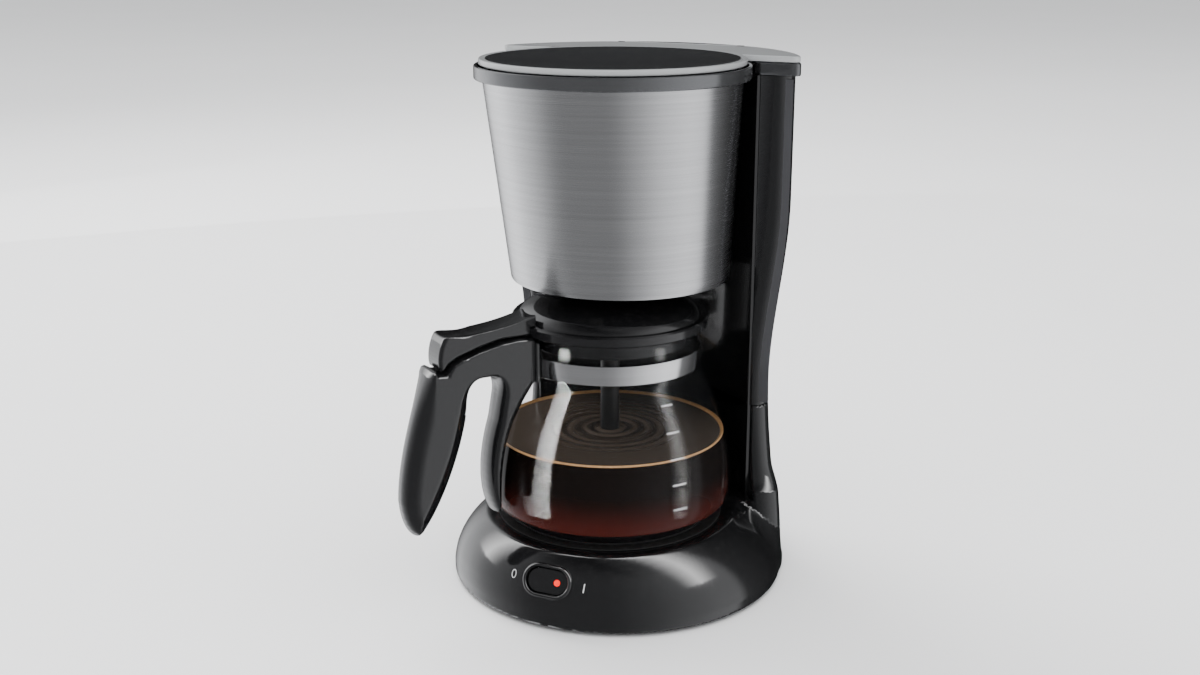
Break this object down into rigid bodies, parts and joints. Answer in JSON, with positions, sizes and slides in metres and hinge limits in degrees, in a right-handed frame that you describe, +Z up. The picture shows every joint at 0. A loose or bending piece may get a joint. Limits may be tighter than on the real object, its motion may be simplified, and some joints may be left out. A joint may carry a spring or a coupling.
{
  "type": "drip coffee maker",
  "caption": "Drip coffee maker with a round hot-plate base, waisted water tower, leaning steel filter drum, hinged one-piece lid and a lidded glass jug.",
  "frame": {"origin": "on the table, on the axis shared by the jug, the hot plate and the filter's outlet, which is also the middle of the overall box", "axes": "+Z up; -Y is the front, where the switch is; +X is to the right for someone facing the back of the machine from the front"},
  "size_m": [0.215, 0.2469, 0.3333],
  "materials": {
    "gloss_black": "polished moulded plastic",
    "matte_black": "satin moulded plastic",
    "grey_gloss": "glossy dark grey plastic",
    "lid_grey": "light grey gloss with a dark dish",
    "ivory_plastic": "heat resistant natural plastic",
    "smoke_plastic": "smoked clear tank plastic",
    "rubber": "matt black rubber",
    "silicone": "translucent silicone",
    "steel": "zinc plated",
    "aluminium": "bare",
    "heater_metal": "heat darkened",
    "plate_coating": "dark non-stick coating",
    "brushed_steel": "fine horizontal brushing",
    "polished_steel": "polished",
    "jug_glass": "clear heat-resistant glass",
    "clear": "clear plastic lens",
    "red_lens": "lit red lens"
  },
  "bodies": {
    "machine": {"base_housing": "gloss_black", "base_plate": "matte_black", "base_screws": "steel", "rubber_feet": "rubber", "cord_gland": "rubber", "hot_plate": "plate_coating", "plate_seal": "rubber", "heating_element": "heater_metal", "water_tube": "aluminium", "element_clamp": "steel", "thermostat": "aluminium", "thermal_fuses": "aluminium", "terminal_block": "ivory_plastic", "inlet_hose": "silicone", "check_valve": "ivory_plastic", "outlet_hose": "silicone", "hose_clamps": "steel", "riser_tube": "silicone", "spray_arm": "ivory_plastic", "tower_shell": "gloss_black", "recess_panel": "gloss_black", "water_tank": "smoke_plastic", "tank_grommets": "silicone", "level_window": "clear", "tower_collar": "grey_gloss", "lid_hinge_pins": "steel", "drum_shell": "gloss_black", "steel_sleeve": "brushed_steel", "drum_collar": "grey_gloss", "drum_screws": "steel", "filter_basket": "matte_black", "drip_spring": "steel", "switch_bezel": "gloss_black", "switch_body": "matte_black"},
    "lid": {"lid_cover": "lid_grey", "lid_inner": "matte_black", "lid_screws": "steel"},
    "rocker": {"switch_rocker": "gloss_black", "switch_lamp": "red_lens"},
    "drip_stop": {"drip_stem": "matte_black", "drip_seal": "silicone"},
    "jug": {"jug_glass": "jug_glass", "jug_band": "polished_steel", "band_screw": "steel", "jug_handle": "gloss_black", "handle_insert": "grey_gloss", "jug_lid": "gloss_black", "brew_tube": "matte_black", "thumb_lever": "gloss_black", "lever_pin": "steel"}
  },
  "joints": [
    {"name": "lid_open", "type": "hinge", "parent": "machine", "child": "lid", "pos_m": [0, 0.111, 0.33105], "axis": [-1, 0, 0], "range_deg": [0, 95]},
    {"name": "jug_slide", "type": "slide", "parent": "machine", "child": "jug", "axis": [0, -1, 0], "range_m": [0, 0.2]},
    {"name": "drip_stop_drop", "type": "slide", "parent": "machine", "child": "drip_stop", "axis": [0, 0, -1], "range_m": [0, 0.004], "deforming": ["drip_spring"]},
    {"name": "switch_rock", "type": "hinge", "parent": "machine", "child": "rocker", "pos_m": [0, -0.0853, 0.02788], "axis": [0, -0.4232, -0.906], "range_deg": [0, 10]}
  ],
  "couplings": [
    {"joint": "drip_stop_drop", "follows": "jug_slide", "ratio": 0.02}
  ]
}
